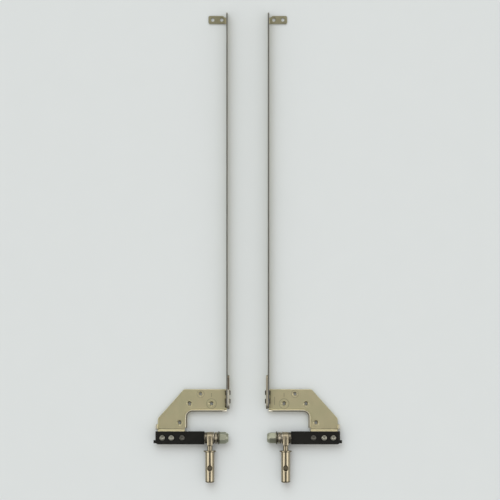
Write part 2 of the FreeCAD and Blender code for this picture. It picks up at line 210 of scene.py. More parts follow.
# %% [markdown]
# ## The studio
# The metal shows what stands round it. On the posts there are two bright bands with a dark line between
# them, so light came from strips at the two sides, and the space straight overhead was dim. The washers
# and nuts are lighter on the side of the rail tips and dark on the other, so there was a strip at the far
# end too, and the near end was the darkest. Lamps close to the table could do this, but their light would
# fall off over the table. Here the strips are drawn in the world itself, by direction. The world only
# serves the reflections: it is hidden from matt surfaces, which get their light from two lamps in the
# next step, so the strips can't throw shadows of the thin rails.

# %% world with soft strips
DIM_LIGHT = 0.30
SIDE_LIGHT = 1.9
FAR_LIGHT = 1.5
STRIP_START = (0.34, 0.52)
STRIP_EDGE = (0.20, 0.45)
STRIP_FOOT = (0.22, 0.46)
NEAR_FADE = (-0.55, -0.10)
NEAR_SHARE = 0.65
WARM = (1.0, 0.985, 0.955, 1.0)

world = bpy.data.worlds.new("soft_studio")
world.use_nodes = True
bpy.context.scene.world = world
world.cycles_visibility.diffuse = False
tree = world.node_tree
tree.nodes.clear()
axes = split(tree, node(tree, "ShaderNodeTexCoord").outputs["Generated"])
above = smooth_step(tree, axes["Z"], *STRIP_FOOT)
along_x = math_node(tree, "ABSOLUTE", axes["X"])
along_y = math_node(tree, "ABSOLUTE", axes["Y"])
side = smooth_step(tree, along_x, *STRIP_START, 0.0, SIDE_LIGHT)
side = product(tree, side, smooth_step(tree, along_y, *STRIP_EDGE, 1.0, 0.0))
far = smooth_step(tree, axes["Y"], *STRIP_START, 0.0, FAR_LIGHT)
far = product(tree, far, smooth_step(tree, along_x, *STRIP_EDGE, 1.0, 0.0))
strips = product(tree, math_node(tree, "ADD", side, far), above)
room = smooth_step(tree, axes["Y"], *NEAR_FADE, NEAR_SHARE * DIM_LIGHT, DIM_LIGHT)
strength = math_node(tree, "ADD", strips, room)
background = node(tree, "ShaderNodeBackground", {"Color": WARM, "Strength": strength})
node(tree, "ShaderNodeOutputWorld", {"Surface": background.outputs[0]})
print("world: side strips", SIDE_LIGHT, "and far strip", FAR_LIGHT, "over a dim", DIM_LIGHT)

# %% [markdown]
# ## The lamps
# A lamp with a disc as wide as most of the sky stands straight overhead and gives the even light of a
# bright room, so there is only a soft shade beside the rails. A second, smaller disc at the far end, a
# little to the left, gives the darker shade on the near side of the plates. The room's light is a little
# warm and the second lamp a little cool, so shade looks warm. Area lamps would do too, but sun lamps
# light the whole table evenly. Both are kept out of the reflections, because the metal shows no round
# lamp.

# %% lamps
LAMPS = {
    "room_light": (2.5, 172, Vector((0, 0, 1)), (0.995, 0.975, 0.945)),
    "key_light": (1.0, 50, Vector((-0.25, 0.75, 0.9)), (0.95, 1.04, 1.12)),
}
for name, (strength, spread, start, colour) in LAMPS.items():
    data = bpy.data.lights.new(name, "SUN")
    data.energy = strength
    data.color = colour
    data.angle = math.radians(spread)
    lamp = bpy.data.objects.new(name, data)
    lamp.visible_glossy = False
    lamp.rotation_mode = "QUATERNION"
    lamp.rotation_quaternion = start.to_track_quat("Z", "Y")
    bpy.context.scene.collection.objects.link(lamp)
    print(name, strength, "from", [round(v, 2) for v in start.normalized()])

# %% [markdown]
# ## The table
# A plain pale sheet lies under the pair. One face would do for it, and a small grid is just as light. It
# lies just below the rails' lower edges so that the two surfaces don't fight, with a matt finish and a
# hardly visible mottling.

# %% table finish
TABLE_COLOUR = (0.695, 0.718, 0.712)
TABLE_SHADE = (0.680, 0.703, 0.697)
TABLE_MOTTLE = {"Scale": 60.0, "Detail": 3.0}
TABLE_ROUGHNESS = 0.9
TABLE_SPECULAR = 0.1


def new_finish(name):
    """A new material with nodes."""
    material = bpy.data.materials.new(name)
    material.use_nodes = True
    return material


def opened(material):
    """A material's node tree and its shader."""
    return material.node_tree, material.node_tree.nodes["Principled BSDF"]


def object_place(tree):
    """Object coordinates: the place of a point on its piece, in metres."""
    return node(tree, "ShaderNodeTexCoord").outputs["Object"]


table_finish = new_finish("matt_table")
tree, shader = opened(table_finish)
place = object_place(tree)
mottled = mix_colour(tree, noise(tree, place, **TABLE_MOTTLE), TABLE_SHADE, TABLE_COLOUR)
tree.links.new(mottled, shader.inputs["Base Color"])
shader.inputs["Roughness"].default_value = TABLE_ROUGHNESS
shader.inputs["Specular IOR Level"].default_value = TABLE_SPECULAR
print("table finish:", table_finish.name)

# %% table
TABLE_HALF = 3.0
TABLE_CELLS = 4
TABLE_DROP = 0.02 * MM

bm = bmesh.new()
bmesh.ops.create_grid(bm, x_segments=TABLE_CELLS, y_segments=TABLE_CELLS, size=TABLE_HALF)
bmesh.ops.translate(bm, vec=(0, 0, -TABLE_DROP), verts=bm.verts)
table_mesh = bpy.data.meshes.new("table")
bm.to_mesh(table_mesh)
bm.free()
table_mesh.materials.append(table_finish)
table = bpy.data.objects.new("table", table_mesh)
bpy.context.scene.collection.objects.link(table)
table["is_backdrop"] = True
print("table:", 2 * TABLE_HALF, "m square")

# %% [markdown]
# ## Shared effects
# Plated sheet, turned steel and zinc all have the same small faults in other strengths: a fine grain,
# cloudy patches and edges that handling has rubbed bright, which on the rails are a dark painted shade
# instead. Every inside corner gets a painted shade. Each could be painted on an image, but a node group
# needs no image and fits every piece. The grain gives a height for bump and for roughness. The clouds are
# slow noise. The edge group and the shade group read the edge and crease attributes, which the modelling
# step below writes along every bevel, and break them up with noise. Two more groups draw marks on the
# plates: a ring that a screw head has pressed, and a straight scratch.
# Scales are per metre, because the pieces are in metres.

# %% grain group
GRAIN_DETAIL = {"Detail": 4.0, "Roughness": 0.6}

grain_group, given, result = open_group(
    "metal_grain",
    {"Vector": None, "Scale": 4000.0, "Along X": 1.0, "Along Y": 1.0, "Along Z": 1.0},
    "Height",
)
stretch = node(grain_group, "ShaderNodeCombineXYZ", {axis: given[f"Along {axis}"] for axis in "XYZ"})
factors = {0: given["Vector"], 1: stretch.outputs[0]}
drawn = node(grain_group, "ShaderNodeVectorMath", factors, operation="MULTIPLY").outputs[0]
grain_group.links.new(noise(grain_group, drawn, Scale=given["Scale"], **GRAIN_DETAIL), result)
print("group:", grain_group.name)

# %% cloud group
CLOUD_DETAIL = {"Detail": 3.0, "Distortion": 0.4}
CLOUD_MIDDLE = 0.5

cloud_group, given, result = open_group(
    "plating_clouds", {"Vector": None, "Scale": 120.0, "Sharpness": 0.25}, "Mask"
)
grey = noise(cloud_group, given["Vector"], Scale=given["Scale"], **CLOUD_DETAIL)
low = math_node(cloud_group, "SUBTRACT", CLOUD_MIDDLE, given["Sharpness"])
high = math_node(cloud_group, "ADD", CLOUD_MIDDLE, given["Sharpness"])
cloud_group.links.new(smooth_step(cloud_group, grey, low, high), result)
print("group:", cloud_group.name)

# %% edge group: rubbed edges, and the rails' painted shade
WEAR_DETAIL = 2.0
WEAR_GAPS = (0.25, 0.6)

edge_tone_group, given, result = open_group(
    "edge_wear", {"Vector": None, "Scale": 900.0, "Amount": 0.7}, "Mask"
)
grey = noise(edge_tone_group, given["Vector"], Scale=given["Scale"], Detail=WEAR_DETAIL)
broken = smooth_step(edge_tone_group, grey, *WEAR_GAPS)
edge_mask = product(edge_tone_group, attribute(edge_tone_group, "edge"), broken, given["Amount"])
edge_tone_group.links.new(edge_mask, result)
print("group:", edge_tone_group.name)

# %% crease group
CREASE_NOISE = {"Scale": 1500.0, "Detail": 2.0}
CREASE_GAPS = (0.2, 0.5)

# Painted shade: darkens the bevels of inside corners and the screw necks, broken up by noise.
crease_group, given, result = open_group("crease_dirt", {"Vector": None, "Amount": 0.8}, "Mask")
patchy = smooth_step(crease_group, noise(crease_group, given["Vector"], **CREASE_NOISE), *CREASE_GAPS)
shaded = product(crease_group, attribute(crease_group, "crease"), patchy, given["Amount"])
crease_group.links.new(shaded, result)
print("group:", crease_group.name)

# %% ring mark group
ring_group, given, result = open_group(
    "ring_mark",
    {"Vector": None, "Centre X": 0.0, "Centre Y": 0.0, "Radius": 2.0 * MM, "Width": 0.3 * MM},
    "Mask",
)
axes = split(ring_group, given["Vector"])
outward = math_node(ring_group, "ABSOLUTE", axes["X"])
across = math_node(ring_group, "SUBTRACT", outward, given["Centre X"])
along = math_node(ring_group, "SUBTRACT", axes["Y"], given["Centre Y"])
off_ring = off_by(ring_group, length_of(ring_group, across, along), given["Radius"])
ring_group.links.new(smooth_step(ring_group, off_ring, 0.0, given["Width"], 1.0, 0.0), result)
print("group:", ring_group.name)

# %% scribe mark group
scribe_group, given, result = open_group(
    "scribe_mark",
    {"Vector": None, "Centre X": 0.0, "Centre Y": 0.0, "Half X": MM, "Half Y": MM, "Width": 0.2 * MM},
    "Mask",
)
axes = split(scribe_group, given["Vector"])
inside = []
for axis in "XY":
    off = off_by(scribe_group, axes[axis], given[f"Centre {axis}"])
    past = math_node(scribe_group, "SUBTRACT", off, given[f"Half {axis}"])
    inside.append(smooth_step(scribe_group, past, 0.0, given["Width"], 1.0, 0.0))
scribe_group.links.new(product(scribe_group, *inside), result)
print("group:", scribe_group.name)

# %% [markdown]
# ## One recipe for the metals
# The finishes here are one recipe with other numbers: a base colour that drifts to a second colour in
# cloudy patches and to a third one on the edges, rubbed metal on most finishes and a painted shade on the
# rails, a painted shade in the creases, a roughness that follows the grain, and a fine bump. Each could be
# wired by hand, but a function that takes those numbers keeps them all alike, and the marks of one finish
# are added to it afterwards.

# %% metal recipe
GRAIN_STEP = (0.3, 0.7)
BUMP_DISTANCE = 0.02 * MM
CREASE_SHADE = 0.25


def metal(name, colours, roughness, grain, bump, metallic=1.0, wear=0.7, clouds=120.0):
    """A plated or bare metal from its base, patch and edge colours and its range of roughness."""
    base, patch, edge = colours
    material = new_finish(f"{name}_finish")
    tree, shader = opened(material)
    place = object_place(tree)
    height = use_group(tree, grain_group, place, **grain)
    colour = mix_colour(tree, use_group(tree, cloud_group, place, Scale=clouds), base, patch)
    colour = mix_colour(tree, use_group(tree, edge_tone_group, place, Amount=wear), colour, edge)
    # Painted shade: inside corners and necks turn to a quarter of the base colour.
    shaded = [CREASE_SHADE * share for share in base]
    colour = mix_colour(tree, use_group(tree, crease_group, place), colour, shaded)
    tree.links.new(colour, shader.inputs["Base Color"])
    tree.links.new(smooth_step(tree, height, *GRAIN_STEP, *roughness), shader.inputs["Roughness"])
    bumped = node(tree, "ShaderNodeBump", {"Height": height, "Strength": bump, "Distance": BUMP_DISTANCE})
    tree.links.new(bumped.outputs["Normal"], shader.inputs["Normal"])
    shader.inputs["Metallic"].default_value = metallic
    return material


print("metal recipe ready")

# %% [markdown]
# ## Fasteners and washers
# The two outer rivets in the tang are bright, the third one is dull, and those in the rail are painted
# nearly black, a painted shade of the fold between rail and plate. The springs and the washer beside the
# eye are bright hardened steel, the washer at the shoulder and the one under the nut are darker, and the
# nut has a greenish zinc plating. They are small, so the recipe with its grain the same in all directions
# is enough, and one table holds the numbers.

# %% finishes of fasteners and washers
FASTENER_METALS = {
    "rivet_steel": (
        ((0.40, 0.395, 0.335), (0.33, 0.325, 0.27), (0.56, 0.55, 0.49)), (0.30, 0.46), 4000.0, 0.35
    ),
    "dull_rivet": (
        ((0.17, 0.165, 0.145), (0.13, 0.127, 0.11), (0.30, 0.29, 0.26)), (0.34, 0.50), 4000.0, 0.35
    ),
    # Painted shade: the rail's rivets are nearly black, for the shade in the fold beside the rail.
    "grimy_rivet": (
        ((0.060, 0.053, 0.036), (0.045, 0.040, 0.027), (0.15, 0.135, 0.10)), (0.36, 0.52), 4000.0, 0.35
    ),
    "spring_steel": (
        ((0.44, 0.40, 0.32), (0.36, 0.325, 0.25), (0.58, 0.54, 0.45)), (0.18, 0.30), 3000.0, 0.2
    ),
    "shoulder_steel": (
        ((0.20, 0.18, 0.14), (0.16, 0.145, 0.11), (0.30, 0.275, 0.22)), (0.20, 0.32), 3000.0, 0.2
    ),
    "dark_steel": (
        ((0.17, 0.16, 0.115), (0.13, 0.12, 0.085), (0.28, 0.265, 0.20)), (0.26, 0.40), 3000.0, 0.2
    ),
    "zinc_plate": (
        ((0.44, 0.455, 0.355), (0.37, 0.385, 0.295), (0.62, 0.63, 0.56)), (0.46, 0.58), 2500.0, 0.2
    ),
}
finishes = {
    name: metal(name, colours, roughness, {"Scale": scale}, bump)
    for name, (colours, roughness, scale, bump) in FASTENER_METALS.items()
}
print("finishes of fasteners and washers:", ", ".join(finishes))

# %% [markdown]
# ## Black shaft
# The shafts are black: the steel has a thin oxide coat, which hides the metal and shines only a little. A
# black metallic finish would still mirror the room, so the recipe's metallic value goes to zero and the
# specular level is low. Where the coat is rubbed off, at the edges, grey steel shows.

# %% black steel
BLACK_SPECULAR = 0.18

finishes["black_steel"] = metal(
    "black_steel",
    ((0.0060, 0.0056, 0.0046), (0.0095, 0.0090, 0.0073), (0.11, 0.105, 0.092)),
    (0.40, 0.60), {"Scale": 3500.0}, 0.3, metallic=0.0, wear=0.55,
)
tree, shader = opened(finishes["black_steel"])
shader.inputs["Specular IOR Level"].default_value = BLACK_SPECULAR
print("black steel: specular level", BLACK_SPECULAR)

# %% [markdown]
# ## Turned posts
# The posts are turned from bar and plated with bright nickel, so their fine grain runs round the barrel.
# The eye is milled, and its cheeks and crown are duller. The groove below the eye and the line under the
# collar get a painted shade, and the neck and the barrel's end are darkened too. Two materials could meet
# at the eye's foot, but a change along Y inside one material gives a soft border, and a short table of
# bands places the darkening.

# %% bright nickel
HINGE_Y, HINGE_Z = frame["joints"][0]["pos_m"][1:]
EYE_FOOT = HINGE_Y - 4.1 * MM
EYE_EDGE = 0.1 * MM
EYE_ROUGHNESS = 0.36

finishes["bright_nickel"] = metal(
    "bright_nickel",
    ((0.37, 0.325, 0.235), (0.33, 0.285, 0.20), (0.50, 0.45, 0.35)),
    (0.12, 0.22), {"Scale": 1500.0, "Along_X": 0.25, "Along_Y": 4.0, "Along_Z": 0.25}, 0.12,
)
tree, shader = opened(finishes["bright_nickel"])
along = split(tree, object_place(tree))["Y"]
milled = soft_edge(tree, along, EYE_FOOT, EYE_EDGE, 0.0, EYE_ROUGHNESS)
turned = shader.inputs["Roughness"].links[0].from_socket
tree.links.new(math_node(tree, "MAXIMUM", turned, milled), shader.inputs["Roughness"])
print("bright nickel: the eye is dull from", round(EYE_FOOT / MM, 2), "mm on")

# %% dark bands: painted shade in the groove and under the collar
DARK_TONE = (0.045, 0.038, 0.026)
BAND_CORE = 0.3
# Painted shade in the groove below the eye and under the collar; the neck and the barrel's end are darker bands.
POST_DARK_BANDS = (
    (HINGE_Y - 4.35 * MM, 0.42 * MM, 0.9),
    (HINGE_Y - 6.0 * MM, 1.8 * MM, 0.3),
    (HINGE_Y - 7.75 * MM, 0.40 * MM, 0.7),
    (HINGE_Y - 24.45 * MM, 0.45 * MM, 0.75),
)

colour = shader.inputs["Base Color"].links[0].from_socket
for middle, half, depth in POST_DARK_BANDS:
    band = smooth_step(tree, off_by(tree, along, middle), BAND_CORE * half, half, depth, 0.0)
    colour = mix_colour(tree, band, colour, DARK_TONE)
tree.links.new(colour, shader.inputs["Base Color"])
print("darkened:", len(POST_DARK_BANDS), "bands on each post")

# %% [markdown]
# ## Side rails
# The rails are strips of plated steel that stand on edge. From above only the sheared top edge shows,
# which is bare and grey, while the tab at the tip lies flat and keeps the yellowish plating. The edge
# could be a piece of its own, but then it could drift from the strip, so the faces of the cut are marked
# with an attribute in the modelling step, and the finish reads it.

# %% rail steel
RAIL_CUT = (0.22, 0.218, 0.205)

# Painted shade: the rail's edge colour is dark, so its bevelled edges and the tab's outline look shaded.
finishes["rail_steel"] = metal(
    "rail_steel",
    ((0.46, 0.43, 0.29), (0.40, 0.38, 0.25), (0.15, 0.145, 0.12)),
    (0.32, 0.50), {"Scale": 2500.0, "Along_Y": 0.08}, 0.25,
)
tree, shader = opened(finishes["rail_steel"])
plated = shader.inputs["Base Color"].links[0].from_socket
sheared = mix_colour(tree, attribute(tree, "cut"), plated, RAIL_CUT)
tree.links.new(sheared, shader.inputs["Base Color"])
print("rail steel: sheared edges", RAIL_CUT)

# %% [markdown]
# ## The plated sheet
# The lid plates are rolled steel with a yellowish nickel plating, satin and a little blotchy. Screw heads
# have left a pressed ring round the inner hole, and the hole above the arm has a fainter one. There are
# short scratches too: one above the inner hole on both plates, and one more on the right plate. These
# marks have hardly any depth, so they are drawn in the finish, by distance from the holes' centres, and
# stay on the upper side.

# %% plated steel
SHEET_MIDDLE = 1.5 * MM
SHEET_EDGE = 0.1 * MM

finishes["plated_steel"] = metal(
    "plated_steel",
    ((0.775, 0.705, 0.455), (0.725, 0.685, 0.435), (0.66, 0.61, 0.45)),
    (0.34, 0.44), {"Scale": 2200.0, "Along_Y": 0.35}, 0.2, wear=0.5, clouds=95.0,
)
tree, shader = opened(finishes["plated_steel"])
place = object_place(tree)
axes = split(tree, place)
upper = soft_edge(tree, axes["Z"], SHEET_MIDDLE, SHEET_EDGE)
colour = shader.inputs["Base Color"].links[0].from_socket
print("plated steel: marks above", SHEET_MIDDLE / MM, "mm")

# %% seat rings and scratches
SEAT_RINGS = (
    (20.3 * MM, HINGE_Y + 18.95 * MM, 2.75 * MM, 0.55),
    (26.4 * MM, HINGE_Y + 24.4 * MM, 2.1 * MM, 0.35),
)
SCRIBES = (
    (-20.3 * MM, HINGE_Y + 23.8 * MM, 1.0 * MM),
    (20.3 * MM, HINGE_Y + 23.8 * MM, 1.0 * MM),
    (15.0 * MM, HINGE_Y + 20.5 * MM, 2.2 * MM),
)
SCRIBE_HALF = 0.08 * MM
SCRIBE_DEPTH = 0.55
MARK_SHADE = (0.27, 0.245, 0.155)

for centre_x, centre_y, radius, depth in SEAT_RINGS:
    ring = use_group(tree, ring_group, place, Centre_X=centre_x, Centre_Y=centre_y, Radius=radius)
    colour = mix_colour(tree, product(tree, ring, upper, depth), colour, MARK_SHADE)
for centre_x, centre_y, half in SCRIBES:
    spot = {"Centre_X": centre_x, "Centre_Y": centre_y, "Half_X": SCRIBE_HALF, "Half_Y": half}
    line = use_group(tree, scribe_group, place, **spot)
    colour = mix_colour(tree, product(tree, line, upper, SCRIBE_DEPTH), colour, MARK_SHADE)
print("plated steel:", len(SEAT_RINGS), "seat rings on each plate and", len(SCRIBES), "scratches")

# %% [markdown]
# ## Sheared edges of the plate
# The rim, the flange and the tongue of the plate stand up, so their sheared edges show from above. The
# rim's edge is bright along one half and nearly black along the other, on the side of the notch: the
# shears do leave a duller tear band, and its dark tone is a painted shade of the rounded outer edge. The
# flange's edge gets a lighter share of that shade on its inner side. The tongue that carries the rail is
# painted dark, a painted shade, on the left plate more than on the right one. Two strips of faces could
# carry the two bands, but they break where the rim slopes at its end, so the finish finds the dark half by
# its distance from the notch's centre.

# %% bare metal, tear bands and painted shade
CUT_BRIGHT = (0.73, 0.69, 0.58)
# Painted shade: the dark half of the rim's edge and the inner side of the flange's edge, where the shears leave a
# duller band.
CUT_TORN_SHADE = (0.17, 0.15, 0.11)
TEAR_EDGE = 0.04 * MM
NOTCH_CENTRE = (30.9 * MM, HINGE_Y + 11.6 * MM)
RIM_MIDDLE = 3.5 * MM
RIM_SLANT = (14.2, 11.7)
FLANGE_SIDE = 11.55 * MM
FLANGE_EDGE = 0.05 * MM
FLANGE_MIDDLE = 10.7 * MM
FLANGE_TORN_SHADE = 0.35
FLANGE_CUT = ((0.84, 0.80, 0.68), (0.56, 0.52, 0.42))
MIRROR_FADE = 1.0 * MM

right = soft_edge(tree, axes["X"], 0.0, MIRROR_FADE)
across = math_node(tree, "ABSOLUTE", axes["X"])
on_flange = soft_edge(tree, across, FLANGE_SIDE, FLANGE_EDGE, 1.0, 0.0)
bare = mix_colour(tree, on_flange, CUT_BRIGHT, mix_colour(tree, right, *FLANGE_CUT))
past_centre = [
    math_node(tree, "MAXIMUM", math_node(tree, "SUBTRACT", spot, middle), 0.0)
    for spot, middle in zip((across, axes["Y"]), NOTCH_CENTRE)
]
torn_shade = soft_edge(tree, length_of(tree, *past_centre), RIM_MIDDLE, TEAR_EDGE, 1.0, 0.0)
torn_shade = product(tree, torn_shade, soft_edge(tree, across, RIM_SLANT[0] * MM, TEAR_EDGE))
flange_torn_shade = soft_edge(tree, across, FLANGE_MIDDLE, TEAR_EDGE, FLANGE_TORN_SHADE, 0.0)
sheared = mix_colour(tree, math_node(tree, "ADD", torn_shade, flange_torn_shade), bare, CUT_TORN_SHADE)
print("sheared edges: torn up to", RIM_MIDDLE / MM, "mm from the notch's centre")

# %% painted shade on the tongues
TONGUE_START = HINGE_Y + 27.0 * MM
TONGUE_FADE = 0.3 * MM
# Painted shade: the tongues' sheared edges are darker, on the left plate more than on the right.
TONGUE_SHADE = ((0.20, 0.17, 0.135), (0.42, 0.38, 0.30))

on_tongue = soft_edge(tree, axes["Y"], TONGUE_START, TONGUE_FADE)
edges = mix_colour(tree, on_tongue, sheared, mix_colour(tree, right, *TONGUE_SHADE))
colour = mix_colour(tree, attribute(tree, "cut"), colour, edges)
print("tongues: dull from", round(TONGUE_START / MM, 2), "mm on")

# %% [markdown]
# ## Painted shade on the plate
# A line of painted shade follows the joggle beside the tang. More painted shade lies at the flange's foot
# and, in broken patches, in the seam between the rail and the plate. It is as flat as paint, so masks along
# X and Y place it, and the cloud group breaks up the seam's line.

# %% painted shade on the plate
JOGGLE_MIDDLE = HINGE_Y + 4.4 * MM
JOGGLE_SPREAD = (0.4 * MM, 0.9 * MM)
JOGGLE_SHADE = 0.6
FLANGE_FOOT = (HINGE_Y + 17.4 * MM, HINGE_Y + 18.9 * MM)
FOOT_SHADE = 0.75
SEAM_MIDDLE = 12.2 * MM
SEAM_SPREAD = (0.34 * MM, 0.85 * MM)
SEAM_START = HINGE_Y + 16.8 * MM
SEAM_END = HINGE_Y + 26.4 * MM
SEAM_FADE = 0.3 * MM
SEAM_PATCHES = {"Scale": 420.0, "Sharpness": 0.2}

# Painted shade along the joggle, at the flange's foot and in the seam between rail and plate.
shaded_joggle = smooth_step(tree, off_by(tree, axes["Y"], JOGGLE_MIDDLE), *JOGGLE_SPREAD, JOGGLE_SHADE, 0.0)
colour = mix_colour(tree, shaded_joggle, colour, MARK_SHADE)
foot = product(tree, on_flange, smooth_step(tree, axes["Y"], *FLANGE_FOOT, FOOT_SHADE, 0.0), upper)
colour = mix_colour(tree, foot, colour, DARK_TONE)
seam = product(
    tree,
    smooth_step(tree, off_by(tree, across, SEAM_MIDDLE), *SEAM_SPREAD, 1.0, 0.0),
    soft_edge(tree, axes["Y"], SEAM_START, SEAM_FADE),
    soft_edge(tree, axes["Y"], SEAM_END, SEAM_FADE, 1.0, 0.0),
    use_group(tree, cloud_group, place, **SEAM_PATCHES),
    upper,
)
colour = mix_colour(tree, seam, colour, DARK_TONE)
tree.links.new(colour, shader.inputs["Base Color"])
print("painted_shade: seam of", round((SEAM_END - SEAM_START) / MM, 2), "mm beside each rail")

# %% [markdown]
# ## Soft edges on the machined pieces
# A real edge is never perfectly sharp: it catches a thin line of light. A bevel modifier could round the
# edges, but it can't mark them for the wear. So each machined piece starts as a copy of its node, whose
# loose triangles are welded and whose flat areas are joined, and every sharp edge is bevelled with two
# segments. The middle of each bevel is stored in the edge attribute, or in the crease attribute on an
# inside corner. All of this is done in millimetres, where the operators' small limits do no harm, and
# scaled to metres at the end.

# %% welding
WELD = 0.002
FLAT = math.radians(0.5)


def welded_copy(node_name):
    """A node's mesh as a bmesh in millimetres, with welded corners and joined flats."""
    bm = bmesh.new()
    bm.from_mesh(frame["nodes"][node_name].data)
    bmesh.ops.scale(bm, vec=Vector((1, 1, 1)) / MM, verts=bm.verts)
    bmesh.ops.remove_doubles(bm, verts=bm.verts, dist=WELD)
    bmesh.ops.dissolve_limit(bm, angle_limit=FLAT, verts=bm.verts, edges=bm.edges)
    return bm


print("welding corners within", WELD, "mm")

# %% softening
SHARP = math.radians(28)
BEVEL_SEGMENTS = 2


def soften(bm, width, stays_sharp=None):
    """Bevel the sharp edges and mark the middle of each bevel."""
    sharp = [e for e in bm.edges if len(e.link_faces) == 2 and e.calc_face_angle() > SHARP]
    if stays_sharp:
        sharp = [e for e in sharp if not stays_sharp(e)]
    made = bmesh.ops.bevel(
        bm, geom=sharp, offset=width, offset_type="OFFSET", segments=BEVEL_SEGMENTS, profile=0.5,
        affect="EDGES", material=-1, clamp_overlap=False,
    )
    rounded = set(made["faces"])
    edge = bm.verts.layers.float.new("edge")
    crease = bm.verts.layers.float.new("crease")
    for vert in bm.verts:
        if all(face in rounded for face in vert.link_faces):
            turn = sum(e.calc_face_angle_signed(0.0) for e in vert.link_edges)
            vert[edge if turn > 0 else crease] = 1.0


print("softening edges past", round(math.degrees(SHARP)), "degrees")

# %% edges that stay sharp
SHORT_CORNER = 1.2
UPRIGHT = 0.9
STACK = (12.0, 23.0)


def tight_corner(edge):
    """Whether an edge is an upright inside corner of a sheet, too short for the bevels beside it."""
    rise = abs(edge.verts[0].co.z - edge.verts[1].co.z)
    return edge.calc_face_angle_signed() < 0 and UPRIGHT * edge.calc_length() < rise < SHORT_CORNER


def in_stack(edge):
    """Whether an edge of the shaft lies in the eye, the washers or the nut, out of sight."""
    low, high = STACK
    return all(low < abs(vert.co.x) < high for vert in edge.verts)


print("inside corners below", SHORT_CORNER, "mm stay sharp")

# %% marking the sheared edges
CUT_HEIGHT = 3.2
FACES_UP = 0.9
RAIL_SIDE = 12.4
SHEARED_LEAN = 0.3


def mark_cut(bm):
    """Store 1 in the cut attribute of the sheared edges of standing sheet."""
    cut = bm.faces.layers.float.new("cut")
    for face in bm.faces:
        spot = face.calc_center_median()
        along_rail = abs(spot.x) < RAIL_SIDE and abs(face.normal.x) < SHEARED_LEAN
        face[cut] = float(spot.z > CUT_HEIGHT and (face.normal.z > FACES_UP or along_rail))


print("sheared edges are marked above", CUT_HEIGHT, "mm")

# %% finishing a piece
CORNER = math.radians(50)


def past_node(mesh, node_name):
    """How far a mesh reaches past its node's box, in millimetres."""
    low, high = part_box(node_name)
    over = 0.0
    for i in range(3):
        spots = [vert.co[i] for vert in mesh.vertices]
        over = max(over, low[i] - min(spots), max(spots) - high[i])
    return over / MM


def finish_piece(name, bm, finish, slot, body, *nodes):
    """Turn a bmesh in millimetres into a piece that rides on a body and stands for its nodes."""
    bmesh.ops.scale(bm, vec=Vector((MM, MM, MM)), verts=bm.verts)
    for face in bm.faces:
        face.smooth = True
    for edge in bm.edges:
        edge.smooth = len(edge.link_faces) == 2 and edge.calc_face_angle() < CORNER
    mesh = bpy.data.meshes.new(name)
    bm.to_mesh(mesh)
    bm.free()
    if "custom_normal" in mesh.attributes:
        mesh.attributes.remove(mesh.attributes["custom_normal"])
    mesh.materials.clear()
    mesh.materials.append(finishes[finish])
    piece = bpy.data.objects.new(name, mesh)
    bpy.context.scene.collection.objects.link(piece)
    even = piece.modifiers.new("even_shading", "WEIGHTED_NORMAL")
    even.keep_sharp = True
    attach(piece, body)
    for node_name in nodes:
        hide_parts(node_name)
    over = max((past_node(mesh, node_name) for node_name in nodes), default=0.0)
    print(name, len(mesh.polygons), "faces, outside its node's box by", round(over, 3), "mm")


print("pieces stay smooth up to", round(math.degrees(CORNER)), "degrees")

# %% [markdown]
# ## Nuts and rim ends
# No two nuts stop at the same angle. The right one has a corner up, and the left one has turned a little
# further, so its copy is turned on the thread. Where the rim meets the flange, the two bends run into
# each other and the rim slopes down. A boolean could cut the slope off, but the sheared edge has to
# follow it, so the copy is cut across once where the slope starts, and the corners beyond that are sunk.

# %% nut and rim helpers
NUT_TURNS = {"left": math.radians(18), "right": 0.0}
RIM_HEIGHTS = (2.2, 3.5)
RIM_STRIP = (14.0, 16.4)
RIM_DROP = 1.0
SLANT_LIMIT = 1.1


def turn_nut(bm, turn):
    """Turn a nut on its thread."""
    centre = Vector((0, HINGE_Y, HINGE_Z)) / MM
    bmesh.ops.rotate(bm, cent=centre, matrix=Matrix.Rotation(turn, 3, "X"), verts=bm.verts)


def slant_rim(bm, outward):
    """Slope the rim's end down beside the flange, where the two bends meet."""
    start, end = RIM_SLANT
    foot, top = RIM_HEIGHTS
    near, far = (HINGE_Y / MM + reach for reach in RIM_STRIP)
    parts = bm.verts[:] + bm.edges[:] + bm.faces[:]
    bmesh.ops.bisect_plane(bm, geom=parts, plane_co=(outward * start, 0, 0), plane_no=(1, 0, 0))
    moved = 0
    for vert in bm.verts:
        along = (start - outward * vert.co.x) / (start - end)
        up = (vert.co.z - foot) / (top - foot)
        if 0.0 < along < SLANT_LIMIT and up > 0.0 and near < vert.co.y < far:
            vert.co.z -= RIM_DROP * along * up
            moved += 1
    print("rim end: sloped", moved, "corners")


print("rim ends drop by", RIM_DROP, "mm")

# %% [markdown]
# ## Machined pieces
# Rails, plates, shafts, washers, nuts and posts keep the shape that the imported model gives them. They
# could be modelled again, but then they might not fit each other, so each is a softened copy. The table
# names the finish of each piece and the width of its bevels: wide on tumbled sheet, narrow on turned
# posts. The posts ride on their own bodies, which turn, and all the rest on the brackets.

# %% machined pieces
SIDES = {"left": -1, "right": 1}
SLOTS = {part["node"]: part["material_slot"] for part in frame["record"]["subparts"]}
MACHINED = {
    "side_rail": ("rail_steel", 0.15),
    "lid_plate": ("plated_steel", 0.20),
    "pivot_shaft": ("black_steel", 0.10),
    "shoulder_washer": ("shoulder_steel", 0.15),
    "friction_washer": ("spring_steel", 0.15),
    "thrust_washer": ("dark_steel", 0.12),
    "lock_nut": ("zinc_plate", 0.18),
    "base_post": ("bright_nickel", 0.07),
}
STAYS_SHARP = {"side_rail": tight_corner, "lid_plate": tight_corner, "pivot_shaft": in_stack}

